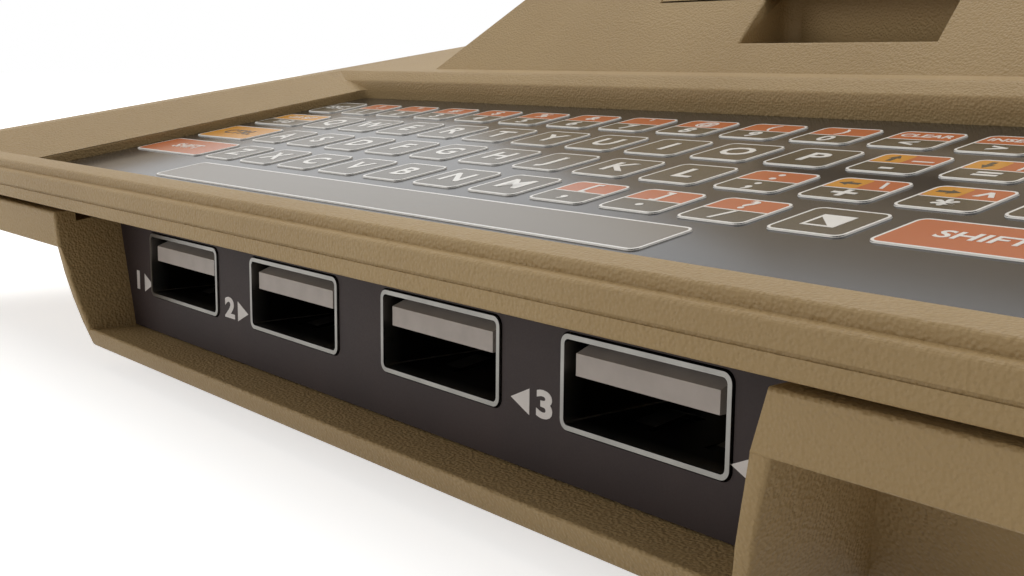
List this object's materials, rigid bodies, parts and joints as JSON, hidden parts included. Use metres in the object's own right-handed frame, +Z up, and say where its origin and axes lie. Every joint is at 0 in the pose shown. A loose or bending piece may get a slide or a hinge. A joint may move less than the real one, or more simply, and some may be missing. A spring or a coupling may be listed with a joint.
{
  "type": "vintage home computer",
  "caption": "Half-size wedge home computer with a flat touch keyboard, front USB sockets under an overhanging lip, and a hinged cartridge door on its hump.",
  "frame": {"origin": "centre of the case's outline, on the table under the feet", "axes": "+X to the user's right along the keyboard, +Y to the back, +Z up"},
  "size_m": [0.1724, 0.146, 0.057],
  "materials": {
    "case_plastic": "fine-grained moulded ABS, tan",
    "button_plastic": "moulded ABS, tan",
    "key_panel": "screen-printed polyester overlay, semi-gloss",
    "label_film": "dark printed film, matt",
    "black_plastic": "black moulded plastic",
    "tongue_plastic": "light grey glass-filled nylon",
    "socket_steel": "nickel-plated drawn steel",
    "contact_gold": "gold-flashed copper alloy",
    "circuit_board": "green solder mask on glass epoxy",
    "heat_sink_aluminium": "black anodised extrusion",
    "led_plastic": "moulded lamp body",
    "light_pipe_plastic": "clear red acrylic",
    "ribbon_film": "flat flexible cable",
    "foot_rubber": "black rubber",
    "screw_steel": "zinc-plated screws",
    "pin_steel": "ground steel pin"
  },
  "bodies": {
    "case": {"upper_shell": "case_plastic", "lower_shell": "case_plastic", "keyboard_overlay": "key_panel", "keyboard_backing": "black_plastic", "jack_label": "label_film", "front_board": "circuit_board", "main_board": "circuit_board", "processor": "black_plastic", "memory_chip": "black_plastic", "heat_sink": "heat_sink_aluminium", "hdmi_shell": "socket_steel", "hdmi_tongue": "black_plastic", "usb_c_shell": "socket_steel", "usb_c_tongue": "black_plastic", "rear_usb_shell": "socket_steel", "rear_usb_tongue": "tongue_plastic", "rear_usb_contacts": "contact_gold", "switch_body": "black_plastic", "status_led": "led_plastic", "light_pipe": "light_pipe_plastic", "ribbon_cable": "ribbon_film", "ribbon_socket_front": "black_plastic", "ribbon_socket_rear": "black_plastic", "hinge_pin": "pin_steel", "cartridge_bay": "black_plastic", "foot_front_left": "foot_rubber", "foot_front_right": "foot_rubber", "foot_rear_left": "foot_rubber", "foot_rear_right": "foot_rubber", "case_screws": "screw_steel", "board_screws": "screw_steel", "keyboard_screws": "screw_steel", "bay_screws": "screw_steel", "usb_shell_1": "socket_steel", "usb_tongue_1": "tongue_plastic", "usb_contacts_1": "contact_gold", "usb_shell_2": "socket_steel", "usb_tongue_2": "tongue_plastic", "usb_contacts_2": "contact_gold", "usb_shell_3": "socket_steel", "usb_tongue_3": "tongue_plastic", "usb_contacts_3": "contact_gold", "usb_shell_4": "socket_steel", "usb_tongue_4": "tongue_plastic", "usb_contacts_4": "contact_gold"},
    "cartridge_door": {"cartridge_door": "case_plastic"},
    "power_button": {"power_button": "button_plastic", "switch_plunger": "tongue_plastic"}
  },
  "joints": [
    {"name": "door_hinge", "type": "hinge", "parent": "case", "child": "cartridge_door", "pos_m": [0, 0.05, 0.0553], "axis": [-1, 0, 0], "range_deg": [0, 80]},
    {"name": "power_press", "type": "slide", "parent": "case", "child": "power_button", "axis": [0, -1, 0], "range_m": [0, 0.0012], "stiffness_N_per_m": 400, "springref_m": -0.0005}
  ]
}
